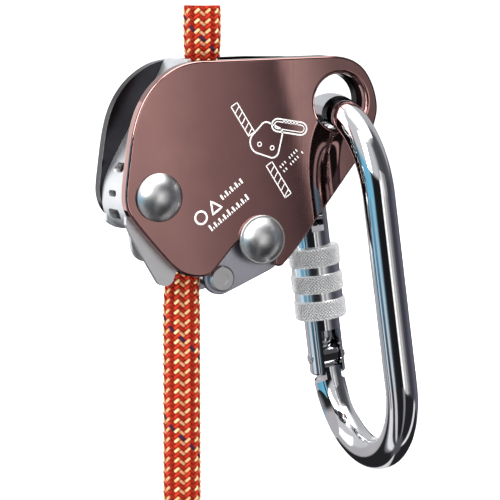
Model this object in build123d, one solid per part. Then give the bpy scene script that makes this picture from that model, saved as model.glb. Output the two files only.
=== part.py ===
from build123d import *
import os
from math import sin, cos, acos, radians, atan2, hypot

os.makedirs("parts", exist_ok=True)

# Rope ascender with a locking oval carabiner.  Millimetres, +Z up.
# X runs along the width of the side plates and Y through the thickness, with the front
# plate towards -Y.  Elevation points are given in the plate datum: u from the front plate's
# left edge, w from its base line.  Solids are built about the cam axle and moved on saving,
# so that the origin is on the rope's axis, half way along its straight upper run.

# ---- driving dimensions ----------------------------------------------------
PLATE_T = 3.4            # side plate thickness
SHEET_T = 1.8            # shell and arm cheek sheet thickness
LAYER_GAP = 0.2          # gap between neighbouring sheets
ROPE_SPACE = 13.2        # free width between the shell's two flanges
RUN = 0.05               # radial running clearance
SIDE_GAP = 0.1           # gap between a flange and the block or a bush

# Places in the plate datum
CAM_AXLE = (10.6, 23.7)
ARM_AXLE = (44.0, 9.9)
GUIDE_PIN = (32.1, -1.6)
EAR_HOLE = (70.7, 50.7)
RING_AXIS = (71.0, 48.25)  # centre of the carabiner stock in the ear hole

EAR_HOLE_R = 8.6
AXLE_R = 4.0             # axle shaft
BUSH_R = 5.0             # outside of the bearing bushes
WASHER_R, WASHER_T = 7.0, 1.2

ROPE_R = 5.5
CORE_R = 4.15
SHEATH_IN_R = 4.2
ROPE_TOP_U, ROPE_LOW_U = 30.0, 23.1    # rope centre above and below the device
ROPE_TOP_W, ROPE_LOW_W = 80.0, -70.0   # rope ends
BEND_TOP_W, BEND_LOW_W = 66.0, -9.0    # heights between which the rope bends

# Layers outwards from the middle plane, as distances along Y
FLANGE_IN = ROPE_SPACE / 2
FLANGE_OUT = FLANGE_IN + SHEET_T
PLATE_IN = FLANGE_OUT + LAYER_GAP
PLATE_OUT = PLATE_IN + PLATE_T


# ---- shared helpers --------------------------------------------------------
def at(u, w):
    """Plate datum to (x, z) about the cam axle."""
    return (u - CAM_AXLE[0], w - CAM_AXLE[1])


CAM_C = at(*CAM_AXLE)
ARM_C = at(*ARM_AXLE)
GUIDE_C = at(*GUIDE_PIN)
EAR_C = at(*EAR_HOLE)
RING_C = at(*RING_AXIS)
ORIGIN = at(ROPE_TOP_U, (ROPE_TOP_W + BEND_TOP_W) / 2)


def line(start, end):
    return Line(at(*start), at(*end))


def arc(start, middle, end):
    return ThreePointArc(at(*start), at(*middle), at(*end))


def smooth(points):
    return Spline(*[at(*p) for p in points])


def poly_face(points):
    return make_face(Polyline(*points, points[0]))


def polar(centre, radius, degrees):
    angle = radians(degrees)
    return (centre[0] + radius * cos(angle), centre[1] + radius * sin(angle))


def slab(sketch, y0, y1):
    """Extrude an elevation sketch (x, z) from y0 to y1."""
    return extrude(Plane.XZ.offset(-y0) * sketch, amount=-(y1 - y0))


def disc(centre, radius, y0, y1):
    return slab(Pos(*centre) * Circle(radius), y0, y1)


def bore(centre, radius):
    """Cutter along Y, longer than the device is thick."""
    return disc(centre, radius, -20, 20)


def largest(shape):
    """Largest solid of a boolean result."""
    return sorted(shape.solids(), key=lambda solid: solid.volume)[-1]


def tube(centre, outer_r, inner_r, y0, y1):
    return largest(disc(centre, outer_r, y0, y1) - bore(centre, inner_r))


def circles(edges, radius):
    return [e for e in edges
            if e.geom_type == GeomType.CIRCLE and abs(e.radius - radius) < 0.01]


def soft_fillet(shape, edges, radius):
    """Round edges; where the full radius fails or gives a bad solid, try smaller ones."""
    for share in (1.0, 0.8, 0.6, 0.4):
        # guards against the kernel refusing a radius on the splined outlines
        try:
            rounded = shape.fillet(radius * share, edges)
            if rounded.is_valid and rounded.volume > 0:
                return rounded
        except Exception:
            pass
    return shape


def save(shape, name):
    export_step(shape.moved(Location((-ORIGIN[0], 0, -ORIGIN[1]))), f"parts/{name}.step")


# ---- side plates -----------------------------------------------------------
# Outline stations (u, w), clockwise seen from the front
PLATE_LEFT = [
    (28.9, 1.4), (27.4, 0.05), (25.4, -0.55), (22.0, -0.45), (18.6, 0.5), (15.8, 2.3),
    (12.1, 5.9), (8.8, 9.6), (5.5, 13.3), (2.5, 17.0), (0.6, 20.2), (0.0, 23.4),
    (0.15, 27.0), (0.9, 33.3), (1.9, 40.4), (3.6, 47.4), (6.0, 52.6), (8.9, 56.5),
    (12.8, 59.9), (17.1, 62.3), (21.5, 63.5), (27.0, 63.8)]
REAR_LEFT = [
    (27.4, 3.2), (23.6, 5.4), (18.4, 8.4), (13.6, 11.1), (9.7, 13.3), (6.2, 15.2),
    (3.4, 17.1), (1.4, 19.6), (0.35, 22.4), (0.05, 25.0)] + PLATE_LEFT[12:]
PLATE_RIGHT = [
    (66.0, 64.6), (69.5, 64.55), (72.3, 64.1), (75.0, 63.2), (77.7, 61.5), (80.6, 57.9),
    (82.3, 54.0), (83.1, 50.4), (83.2, 48.0), (82.6, 45.0), (81.2, 41.0), (79.0, 36.6),
    (76.0, 32.3)]
PLATE_HOOK = [(57.5, 8.5), (55.8, 6.5), (54.0, 4.5), (51.9, 2.4)]

# Notch around the arm axle in the front plate's lower edge
HOOK_TIP, HOOK_INNER = (50.5, 1.5), (48.5, 2.4)
NOTCH_RIGHT, NOTCH_LEFT = (48.25, 8.2), (39.5, 11.4)
NOTCH_CROWN = (ARM_AXLE[0] + 2.1, ARM_AXLE[1] + 4.7)
FRONT_LOWER = [(36.3, 9.4), (34.0, 7.0), (31.4, 4.1), PLATE_LEFT[0]]
REAR_LOWER_RIGHT = [PLATE_HOOK[-1], (48.0, 0.6), (43.5, 0.4), (39.6, 2.4), (36.2, 5.6)]
REAR_LOWER_LEFT = [REAR_LOWER_RIGHT[-1], (33.4, 4.4), (30.6, 3.0), REAR_LEFT[0]]

# Joggle that brings the rear plate's ear forward
EAR_FRONT_Y = -5.2       # front face of the ear
JOG_RUN = 8.0            # length of the joggle
JOG_AT = (56.0, 10.0)    # a point on the joggle's start line
JOG_TILT = 7.0           # tilt of that line, degrees
JOG_FILLET = 2.2


def upper_edges(left):
    """Plate edges from the lower left, over the top, to the end of the hook."""
    return [smooth(left), line(left[-1], PLATE_RIGHT[0]), smooth(PLATE_RIGHT),
            line(PLATE_RIGHT[-1], PLATE_HOOK[0]), smooth(PLATE_HOOK)]


def front_side_plate():
    outline = make_face(upper_edges(PLATE_LEFT) + [
        arc(PLATE_HOOK[-1], HOOK_TIP, HOOK_INNER), line(HOOK_INNER, NOTCH_RIGHT),
        arc(NOTCH_RIGHT, NOTCH_CROWN, NOTCH_LEFT), line(NOTCH_LEFT, FRONT_LOWER[0]),
        smooth(FRONT_LOWER)])
    plate = slab(outline, -PLATE_OUT, -PLATE_IN)
    plate -= bore(CAM_C, AXLE_R + RUN)
    plate -= bore(EAR_C, EAR_HOLE_R)
    plate = largest(plate)
    front_face = plate.faces().sort_by(Axis.Y)[0]
    plate = soft_fillet(plate, circles(front_face.edges(), EAR_HOLE_R), 1.25)
    front_face = plate.faces().sort_by(Axis.Y)[0]
    plate = soft_fillet(plate, front_face.outer_wire().edges(), 0.7)
    back_face = plate.faces().sort_by(Axis.Y)[-1]
    return soft_fillet(plate, circles(back_face.edges(), EAR_HOLE_R), 0.8)


def joggle_band():
    """Plate-thick band, stepped in plan, that the rear outline is cut from."""
    half = PLATE_T / 2
    main_y = (PLATE_IN + PLATE_OUT) / 2
    ear_y = EAR_FRONT_Y + half
    slope = atan2(ear_y - main_y, JOG_RUN)
    # shift of the bend corners that keeps the sloping part at full thickness
    shift = half * (1 - cos(slope)) / sin(-slope)
    section = poly_face([
        (-120, main_y - half), (-shift, main_y - half),
        (JOG_RUN - shift, ear_y - half), (120, ear_y - half),
        (120, ear_y + half), (JOG_RUN + shift, ear_y + half),
        (shift, main_y + half), (-120, main_y + half)])
    bends = [v for v in section.vertices() if abs(v.X) < 60]
    section = fillet(bends, JOG_FILLET)
    band = extrude(Plane.XY.offset(-130) * section, amount=260)
    x, z = at(*JOG_AT)
    return Pos(x, 0, z) * Rot(0, -JOG_TILT, 0) * band


def rear_side_plate():
    outline = make_face(upper_edges(REAR_LEFT)
                        + [smooth(REAR_LOWER_RIGHT), smooth(REAR_LOWER_LEFT)])
    plate = largest(slab(outline, -14, 14) & joggle_band())
    plate -= bore(CAM_C, AXLE_R)
    plate -= bore(ARM_C, AXLE_R)
    plate -= bore(EAR_C, EAR_HOLE_R)
    return largest(plate)


# ---- rope shell: folded U-channel, web on the left -------------------------
# Outer face of the web (u, w), from the top down
WEB_OUT = [
    (22.4, 64.2), (21.0, 63.2), (19.9, 61.0), (17.3, 56.4), (13.5, 50.0), (9.5, 43.2),
    (5.9, 36.9), (2.6, 30.7), (1.1, 26.6), (0.75, 23.2), (1.2, 19.2), (2.5, 16.2),
    (4.6, 14.0)]
FLANGE_CORNER = (1.6, 15.6)
# Right edge shared by both flanges, from the bottom up, and the crest of the top arc
FLANGE_RIGHT = [(19.4, 16.0), (20.4, 30.0), (23.0, 46.0), (25.4, 58.0)]
FLANGE_CREST = (25.1, 61.6)
# Slots through the web: height w of the centre, size along Y, size along Z, right end u
WEB_SLOTS = [(32.0, 7.2, 2.9, 8), (24.4, 5.6, 1.9, 4.5), (18.2, 8.2, 3.0, 5)]
WEB_SLOT_Y = 0.3
WEB_SLOT_START_U = -4


def offset_line(points, distance):
    """Points moved square to the line, to the left of its direction."""
    moved = []
    for i, (u, w) in enumerate(points):
        before = points[max(i - 1, 0)]
        after = points[min(i + 1, len(points) - 1)]
        du, dw = after[0] - before[0], after[1] - before[1]
        length = hypot(du, dw)
        moved.append((u - distance * dw / length, w + distance * du / length))
    return moved


def flange_face(left_runs, lobe, right_start):
    """Flange outline; left_runs lead down to the lobe, three points of its bottom arc."""
    web_mid = offset_line(WEB_OUT, SHEET_T / 2)
    return make_face([
        smooth(web_mid[:10]), line(web_mid[9], FLANGE_CORNER),
        *[smooth(run) for run in left_runs], arc(*lobe),
        smooth([lobe[-1], right_start] + FLANGE_RIGHT),
        arc(FLANGE_RIGHT[-1], FLANGE_CREST, web_mid[0])])


def rope_shell():
    web_in = offset_line(WEB_OUT, SHEET_T)
    web = make_face([smooth(WEB_OUT), line(WEB_OUT[-1], web_in[-1]),
                     smooth(web_in[::-1]), line(web_in[0], WEB_OUT[0])])
    front = flange_face(
        left_runs=[[FLANGE_CORNER, (4.3, 10.4), (8.1, 3.9), (11.6, -1.9)]],
        lobe=[(11.6, -1.9), (13.9, -3.2), (16.6, -1.9)],
        right_start=(18.6, 5.0))
    # the rear flange ends in a smaller, squarer lobe
    rear = flange_face(
        left_runs=[[FLANGE_CORNER, (4.8, 13.6), (8.6, 13.2)],
                   [(8.6, 13.2), (9.4, 9.4), (10.4, 5.4), (12.3, 3.4)]],
        lobe=[(12.3, 3.4), (14.5, 2.8), (16.6, 3.9)],
        right_start=(18.4, 9.0))
    shell = (slab(web, -FLANGE_OUT, FLANGE_OUT) + slab(front, -FLANGE_OUT, -FLANGE_IN)
             + slab(rear, FLANGE_IN, FLANGE_OUT))
    shell = largest(shell)
    shell -= bore(CAM_C, AXLE_R + RUN)
    for w, size_y, size_z, end_u in WEB_SLOTS:
        x, z = at(WEB_SLOT_START_U, w)
        slot = Pos(WEB_SLOT_Y, z) * SlotOverall(size_y, size_z)
        shell -= extrude(Plane.YZ.offset(x) * slot, amount=end_u - WEB_SLOT_START_U)
    return largest(shell)


# ---- axles: domed rivets ---------------------------------------------------
CAM_DOME_R = 7.25
ARM_DOME_R = 7.45
ARM_CAP_R = ARM_DOME_R - 0.75  # dome standing on the arm axle's wider collar
DOME_H = 4.6
DOME_BASE_Y = -PLATE_OUT - 0.1
TAIL_R, TAIL_H, TAIL_RIM = 5.6, 2.4, 0.4  # rear dome


def dome(centre, radius, height, base_y, direction, rim_h):
    """Spherical cap on a straight rim, pointing along -Y or +Y."""
    cap_h = height - rim_h
    sphere_r = (radius * radius + cap_h * cap_h) / (2 * cap_h)
    barrel = Rot(-90, 0, 0) * Cylinder(
        radius, height + 2, align=(Align.CENTER, Align.CENTER, Align.MIN))
    cap = barrel & (Pos(0, height - sphere_r, 0) * Rot(90, 0, 0) * Sphere(sphere_r))
    if direction < 0:
        cap = Rot(180, 0, 0) * cap
    return Pos(centre[0], base_y, centre[1]) * cap


def axle(centre, *front_heads):
    rivet = disc(centre, AXLE_R, -PLATE_OUT - 1.1, PLATE_OUT + WASHER_T + 0.6)
    for head in front_heads:
        rivet += head
    rivet += dome(centre, TAIL_R, TAIL_H, PLATE_OUT + WASHER_T, 1, TAIL_RIM)
    return largest(rivet)


def cam_axle():
    return axle(CAM_C, dome(CAM_C, CAM_DOME_R, DOME_H, DOME_BASE_Y, -1, rim_h=0.8))


def arm_axle():
    rivet = axle(ARM_C,
                 dome(ARM_C, ARM_CAP_R, DOME_H, DOME_BASE_Y, -1, rim_h=1.5),
                 disc(ARM_C, ARM_DOME_R, -PLATE_OUT - 1.2, DOME_BASE_Y))
    return soft_fillet(rivet, circles(rivet.edges(), ARM_DOME_R), 0.35)


def rivet_washers():
    return Compound(children=[
        tube(centre, WASHER_R, AXLE_R, PLATE_OUT, PLATE_OUT + WASHER_T)
        for centre in (CAM_C, ARM_C)])


# ---- rope ------------------------------------------------------------------
BEND_STEPS = 8


def rope_u(w):
    """Rope centre at height w, both in the plate datum."""
    if w >= BEND_TOP_W:
        return ROPE_TOP_U
    if w <= BEND_LOW_W:
        return ROPE_LOW_U
    share = (w - BEND_LOW_W) / (BEND_TOP_W - BEND_LOW_W)
    return ROPE_LOW_U + (ROPE_TOP_U - ROPE_LOW_U) * (3 * share * share - 2 * share ** 3)


def rope_point(w):
    x, z = at(rope_u(w), w)
    return (x, 0, z)


def rope_solid(radius):
    bend = [rope_point(BEND_TOP_W + (BEND_LOW_W - BEND_TOP_W) * i / BEND_STEPS)
            for i in range(BEND_STEPS + 1)]
    top = rope_point(ROPE_TOP_W)
    path = Wire([Edge.make_line(top, bend[0]),
                 Edge.make_spline(bend, tangents=[(0, 0, -1), (0, 0, -1)]),
                 Edge.make_line(bend[-1], rope_point(ROPE_LOW_W))])
    return sweep(Plane(origin=top, z_dir=(0, 0, -1)) * Circle(radius), path=path)


# ---- bushes and torsion springs, alike on both axles -----------------------
BUSH_END_Y = 1.9         # rear end of the bush and floor of the spring pocket
POCKET_R = 7.5
WIRE_R = 0.5
COIL_R = 5.9
COIL_START_Y = 2.6
COIL_TURNS = 2.75
COIL_PITCH = 1.15
COIL_LEG = 3.6


def bush(centre):
    return tube(centre, BUSH_R, AXLE_R + RUN, -FLANGE_IN + SIDE_GAP, BUSH_END_Y)


def spring_pocket(centre):
    return disc(centre, POCKET_R, BUSH_END_Y, 10)


def torsion_spring(centre, start):
    """Coil about Y from angle start, with a tangential leg at each end."""
    def point(degrees, y, along=0.0):
        x, z = polar(centre, COIL_R, degrees)
        angle = radians(degrees)
        return Vector(x - along * sin(angle), y, z + along * cos(angle))

    steps = int(COIL_TURNS * 14)
    end = start + 360.0 * COIL_TURNS
    end_y = COIL_START_Y + COIL_PITCH * COIL_TURNS
    points = [point(start, COIL_START_Y, -COIL_LEG * share) for share in (1.0, 0.66, 0.33)]
    points += [point(start + 360.0 * COIL_TURNS * i / steps,
                     COIL_START_Y + COIL_PITCH * COIL_TURNS * i / steps)
               for i in range(steps + 1)]
    points += [point(end, end_y, COIL_LEG * share) for share in (0.33, 0.66, 1.0)]
    path = Edge.make_spline(points)
    plane = Plane(origin=path @ 0, z_dir=path % 0)
    return largest(sweep(plane * Circle(WIRE_R), path=Wire([path]), is_frenet=False))


# ---- rope cam --------------------------------------------------------------
CAM_TIP_R = 9.35         # tooth tip radius facing the rope, grows below
CAM_GAIN = 0.012         # growth, mm per degree
TOOTH_D = 0.75           # tooth depth
TEETH = 22
TEETH_START, TEETH_END = -70.0, 60.0  # degrees from +X
CAM_HUB_R = 7.4
CAM_HALF_W = 5.6


def rope_cam():
    step = (TEETH_END - TEETH_START) / TEETH
    points = []
    for i in range(TEETH):
        root = TEETH_START + step * i
        tip = root + step * 0.62
        points.append(polar(CAM_C, CAM_TIP_R - CAM_GAIN * root - TOOTH_D, root))
        points.append(polar(CAM_C, CAM_TIP_R - CAM_GAIN * tip, tip))
    points += [polar(CAM_C, CAM_HUB_R, degrees) for degrees in range(66, 286, 8)]
    cam = slab(poly_face(points), -CAM_HALF_W, CAM_HALF_W) - bore(CAM_C, BUSH_R)
    cam -= spring_pocket(CAM_C)
    return largest(cam)


# ---- arm: grooved pressure block, cheeks, rivets, guide pin and roller -----
# nearest approach of the rope's centreline to the arm axle
ROPE_REACH = min(hypot(rope_u(w / 10) - ARM_AXLE[0], w / 10 - ARM_AXLE[1])
                 for w in range(-200, 500))
GROOVE_R = ROPE_R + 0.12
BLOCK_R = ROPE_REACH - 3.1
BLOCK_START, BLOCK_END = 146.0, 203.0  # sector of the block, degrees from +X
BLOCK_HUB_R = 7.4
BLOCK_HALF_W = FLANGE_IN - SIDE_GAP
RIVET_R = 1.25
RIVETS = [polar(ARM_C, 10.9, degrees) for degrees in (159.0, 194.0)]

CHEEK_AXLE_R = 10.8
CHEEK_GUIDE_R = 5.0
PIN_R = 2.2
PIN_HEAD_R = 4.0
PIN_HEAD_FRONT, PIN_HEAD_REAR = 2.0, 1.6  # head thicknesses
PIN_RECESS_R, PIN_RECESS_D = 1.8, 0.25
ROLLER_R = 3.2
ROLLER_HALF_W = FLANGE_IN - 0.15


def pressure_block():
    first, middle, last = [polar((0.0, 0.0), BLOCK_R, degrees) for degrees in
                           (BLOCK_START, (BLOCK_START + BLOCK_END) / 2, BLOCK_END)]
    sector = make_face([Line((0.0, 0.0), first), ThreePointArc(first, middle, last),
                        Line(last, (0.0, 0.0))])
    block = slab(Pos(*ARM_C) * (sector + Circle(BLOCK_HUB_R)), -BLOCK_HALF_W, BLOCK_HALF_W)
    block -= Pos(ARM_C[0], 0, ARM_C[1]) * Rot(90, 0, 0) * Torus(ROPE_REACH, GROOVE_R)
    block -= bore(ARM_C, BUSH_R)
    block -= spring_pocket(ARM_C)
    for centre in RIVETS:
        block -= bore(centre, RIVET_R)
    return largest(block)


def link_sketch(c1, r1, c2, r2):
    """Two circles joined by their outer tangents."""
    dx, dz = c2[0] - c1[0], c2[1] - c1[1]
    base = atan2(dz, dx)
    spread = acos((r1 - r2) / hypot(dx, dz))

    def touch(centre, radius, side):
        angle = base + side * spread
        return (centre[0] + radius * cos(angle), centre[1] + radius * sin(angle))

    quad = poly_face([touch(c1, r1, 1), touch(c2, r2, 1), touch(c2, r2, -1), touch(c1, r1, -1)])
    return quad + Pos(*c1) * Circle(r1) + Pos(*c2) * Circle(r2)


def arm_cheek(y0, y1, outer_index):
    """Cheek between y0 and y1; outer_index picks its outer face in order along Y."""
    outline = link_sketch(GUIDE_C, CHEEK_GUIDE_R, ARM_C, CHEEK_AXLE_R)
    cheek = slab(outline, y0, y1) - bore(ARM_C, AXLE_R + RUN) - bore(GUIDE_C, PIN_R)
    for centre in RIVETS:
        cheek -= bore(centre, RIVET_R)
    cheek = largest(cheek)
    outer_face = cheek.faces().filter_by(GeomType.PLANE).sort_by(Axis.Y)[outer_index]
    return soft_fillet(cheek, outer_face.outer_wire().edges(), 0.4)


def arm_rivets():
    return Compound(children=[largest(disc(centre, RIVET_R, -FLANGE_OUT, FLANGE_OUT))
                              for centre in RIVETS])


def guide_pin():
    front_y = -FLANGE_OUT - PIN_HEAD_FRONT
    rear_y = FLANGE_OUT + PIN_HEAD_REAR
    pin = largest(disc(GUIDE_C, PIN_R, -FLANGE_OUT, FLANGE_OUT)
                  + disc(GUIDE_C, PIN_HEAD_R, front_y, -FLANGE_OUT)
                  + disc(GUIDE_C, PIN_HEAD_R, FLANGE_OUT, rear_y))
    rims = [e for e in circles(pin.edges(), PIN_HEAD_R)
            if e.center().Y < front_y + 0.1 or e.center().Y > rear_y - 0.1]
    pin = pin.chamfer(0.6, None, rims)
    pin -= disc(GUIDE_C, PIN_RECESS_R, front_y - 0.5, front_y + PIN_RECESS_D)
    return largest(pin)


# ---- carabiner -------------------------------------------------------------
# Built in its own frame: stock centre in the ear hole at the origin, y across the two
# legs with the gate leg at +y, z along the long axis.
RING_TILT = 7.7          # lean, degrees
RING_Y = -5.0            # middle of the carabiner, between its legs
STOCK_R = 4.9
HALF_W = 25.0            # half width of the centreline, also its bend radius
RING_LEN = 108.0         # length of the centreline
BEND_TOP_Z = -HALF_W
BEND_LOW_Z = -(RING_LEN - HALF_W)
GATE_R = 5.6
GATE_BORE_R = 3.2
GATE_TOP, GATE_LOW = -32.1, -85.5
NOSE_END = GATE_TOP + 0.6
HINGE_Z = -80.1
HINGE_PIN_R = 1.6
HINGE_CLEAR_R = 8.1      # room for the swinging gate end
LUG_W = 5.2              # hinge lug width
EYE_R = 3.4
HEEL_R = 4.3
NOSE_PIN_Z = -35.0
NOSE_PIN_R = 1.2
# Claw outline (y from the gate leg, z); it ends upwards at CLAW_TOP
CLAW_TOP = NOSE_END + 0.5
CLAW = [(1.55, CLAW_TOP), (1.55, -36.7), (-0.6, -36.7), (-1.4, -37.5), (-1.4, -38.5),
        (3.9, -38.5), (3.9, CLAW_TOP)]
CLAW_W = 3.8
HOLLOW_R = 26.0
HOLLOW_X = 3.4           # nearest approach of a hollow to the stock's middle plane
HINGE_SLOT_W = 6.0
HINGE_SLOT_TOP = -71.3
HINGE_SLOT_Y = 3.6       # slot's outer wall, from the gate's axis
SPRING_TOP = -48.1       # top of the gate's bore
PLUNGER_R = 2.9
PLUNGER_L = 6.5
PLUNGER_TIP_Z = HINGE_Z + 3.5
STEM_Z = PLUNGER_TIP_Z + PLUNGER_R + PLUNGER_L
STEM_R, STEM_L = 1.5, 3.0
GATE_COIL_R, GATE_WIRE_R, GATE_COILS = 2.35, 0.4, 9.0
GATE_COIL_GAP = 0.5      # gap at each end of the coil's centreline
SLEEVE_R = 8.2
SLEEVE_BORE_R = 5.66
SLEEVE_TOP = -44.8
SLEEVE_L = 22.7
SLEEVE_GROOVES = (7.2, 15.5)  # distances below the sleeve's top
GROOVE_W, GROOVE_D = 2.6, 0.65
UPWARDS = (Align.CENTER, Align.CENTER, Align.MIN)


def ring(shape):
    """Carabiner frame to the frame about the cam axle."""
    return Pos(RING_C[0], RING_Y, RING_C[1]) * Rot(0, -RING_TILT, 0) * shape


def on_gate(z):
    return Pos(0, HALF_W, z)


def cross_bar(z, radius, length):
    """Cylinder along X through the gate's axis."""
    return on_gate(z) * Rot(0, 90, 0) * Cylinder(radius, length)


def ring_stock():
    diagonal = cos(radians(45)) * HALF_W
    right, left = (0, HALF_W, BEND_TOP_Z), (0, -HALF_W, BEND_TOP_Z)
    low_left, low_right = (0, -HALF_W, BEND_LOW_Z), (0, HALF_W, BEND_LOW_Z)
    nose, crown, foot = (0, HALF_W, NOSE_END), (0, 0, 0), (0, 0, BEND_LOW_Z - HALF_W)
    bend = Edge.make_three_point_arc
    path = Wire([
        Edge.make_line(nose, right),
        bend(right, (0, diagonal, BEND_TOP_Z + diagonal), crown),
        bend(crown, (0, -diagonal, BEND_TOP_Z + diagonal), left),
        Edge.make_line(left, low_left),
        bend(low_left, (0, -diagonal, BEND_LOW_Z - diagonal), foot),
        bend(foot, (0, diagonal, BEND_LOW_Z - diagonal), low_right)])
    return largest(sweep(Plane(origin=nose, z_dir=(0, 0, 1)) * Circle(STOCK_R), path=path))


def carabiner_body():
    stock = ring_stock()
    lug = stock & cross_bar(HINGE_Z, HINGE_CLEAR_R + 1.2, LUG_W)
    lug = lug - Pos(0, HALF_W + 3.3 + 5, HINGE_Z) * Box(20, 10, 15)
    lug = lug - on_gate(HINGE_Z + 10.6) * Box(20, 30, 20)
    # hinge eye: round about the pin, with a raised heel towards the spine that lifts
    # the plunger
    heel = [polar((0, 0), HEEL_R, degrees) for degrees in (117, 130, 145, 165)]
    eye_face = Circle(EYE_R) + poly_face([(0, 0)] + heel + [(-3.6, -1.0)])
    eye = extrude(Plane.YZ.offset(-LUG_W / 2) * (Pos(HALF_W, HINGE_Z) * eye_face),
                  amount=LUG_W)
    body = (stock - cross_bar(HINGE_Z, HINGE_CLEAR_R, 40)) + lug + eye
    body -= cross_bar(HINGE_Z, HINGE_PIN_R, 30)
    # nose claw: a tongue on the outside of the gate's nose pin that hooks under it
    claw_face = poly_face([(HALF_W + y, z) for y, z in CLAW])
    body = body + extrude(Plane.YZ.offset(-CLAW_W / 2) * claw_face, amount=CLAW_W)
    body = largest(body)
    # shallow hollows in both sides of the stock, inside the bend next to the hinge
    for side in (-1, 1):
        body -= (Pos(side * (HOLLOW_X + HOLLOW_R), HALF_W - 7.5, HINGE_Z - 16.5)
                 * Sphere(HOLLOW_R))
    return largest(body)


def gate_tube():
    cut_low = GATE_LOW - 5
    gate = on_gate((GATE_TOP + GATE_LOW) / 2) * Cylinder(GATE_R, GATE_TOP - GATE_LOW)
    gate = gate.chamfer(0.5, None, gate.edges())
    gate -= (on_gate((SPRING_TOP + cut_low) / 2)
             * Cylinder(GATE_BORE_R, SPRING_TOP - cut_low))
    # hinge slot, open towards the spine and at the lower end
    gate -= (Pos(0, HALF_W + HINGE_SLOT_Y - 10, (HINGE_SLOT_TOP + cut_low) / 2)
             * Box(HINGE_SLOT_W, 20, HINGE_SLOT_TOP - cut_low))
    # nose slot, through the upper end
    gate -= on_gate(-35.7) * Box(4.2, 20, 8.0)
    gate -= cross_bar(HINGE_Z, HINGE_PIN_R + RUN, 30)
    gate -= cross_bar(NOSE_PIN_Z, NOSE_PIN_R, 30)
    return largest(gate)


def gate_hinge_pin():
    pin = cross_bar(HINGE_Z, HINGE_PIN_R, 2 * GATE_R + 0.9)
    return pin.chamfer(0.25, None, pin.edges().filter_by(GeomType.CIRCLE))


def gate_plunger():
    centre = on_gate(PLUNGER_TIP_Z + PLUNGER_R)
    plunger = (centre * Sphere(PLUNGER_R)
               + centre * Cylinder(PLUNGER_R, PLUNGER_L, align=UPWARDS))
    plunger += on_gate(STEM_Z) * Cylinder(STEM_R, STEM_L, align=UPWARDS)
    return largest(plunger)


def gate_spring():
    base_z = STEM_Z + GATE_COIL_GAP
    height = SPRING_TOP - GATE_COIL_GAP - base_z
    helix = on_gate(base_z) * Helix(pitch=height / GATE_COILS, height=height,
                                    radius=GATE_COIL_R)
    plane = Plane(origin=helix @ 0, z_dir=helix % 0)
    return largest(sweep(plane * Circle(GATE_WIRE_R), path=Wire([helix.edge()]),
                         is_frenet=True))


def screw_sleeve():
    """Three bands parted by two grooves."""
    middle = on_gate(SLEEVE_TOP - SLEEVE_L / 2)
    sleeve = middle * Cylinder(SLEEVE_R, SLEEVE_L)
    sleeve = sleeve.chamfer(0.5, None, sleeve.edges().filter_by(GeomType.CIRCLE))
    for drop in SLEEVE_GROOVES:
        sleeve -= on_gate(SLEEVE_TOP - drop) * (
            Cylinder(SLEEVE_R + 1, GROOVE_W) - Cylinder(SLEEVE_R - GROOVE_D, 3.0))
    sleeve -= middle * Cylinder(SLEEVE_BORE_R, SLEEVE_L + 2)
    return largest(sleeve)


# ---- build and save --------------------------------------------------------
save(front_side_plate(), "front_side_plate")
save(rear_side_plate(), "rear_side_plate")
save(rope_shell(), "rope_shell")
save(cam_axle(), "cam_axle")
save(arm_axle(), "arm_axle")
save(rivet_washers(), "rivet_washers")
save(largest(rope_solid(ROPE_R) - rope_solid(SHEATH_IN_R)), "rope_sheath")
save(largest(rope_solid(CORE_R)), "rope_core")
save(rope_cam(), "rope_cam")
save(bush(CAM_C), "cam_bush")
save(torsion_spring(CAM_C, start=150.0), "cam_spring")
save(pressure_block(), "pressure_block")
save(bush(ARM_C), "block_bush")
save(torsion_spring(ARM_C, start=20.0), "block_spring")
save(arm_cheek(-FLANGE_OUT, -FLANGE_IN, outer_index=0), "arm_cheek_front")
save(arm_cheek(FLANGE_IN, FLANGE_OUT, outer_index=-1), "arm_cheek_rear")
save(arm_rivets(), "arm_rivets")
save(guide_pin(), "guide_pin")
save(tube(GUIDE_C, ROLLER_R, PIN_R + RUN, -ROLLER_HALF_W, ROLLER_HALF_W), "guide_roller")
save(ring(carabiner_body()), "carabiner_body")
save(ring(gate_tube()), "gate_tube")
save(ring(gate_hinge_pin()), "gate_hinge_pin")
save(ring(cross_bar(NOSE_PIN_Z, NOSE_PIN_R, 2 * GATE_R - 0.6)), "gate_nose_pin")
save(ring(gate_plunger()), "gate_plunger")
save(ring(gate_spring()), "gate_spring")
save(ring(screw_sleeve()), "screw_sleeve")
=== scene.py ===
# A rope-grab device on a length of braided rope: two side plates, a folded shell, a cam and
# an arm, with a screw-gate carabiner at its right.
# Frame: +Z up, +X to the right, the front plate faces -Y. The origin is on the rope, above
# the device. Sizes are in mm and become metres through MM; the studio is in metres.
import math
import bpy
import bmesh
from mathutils import Vector, Matrix


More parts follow.
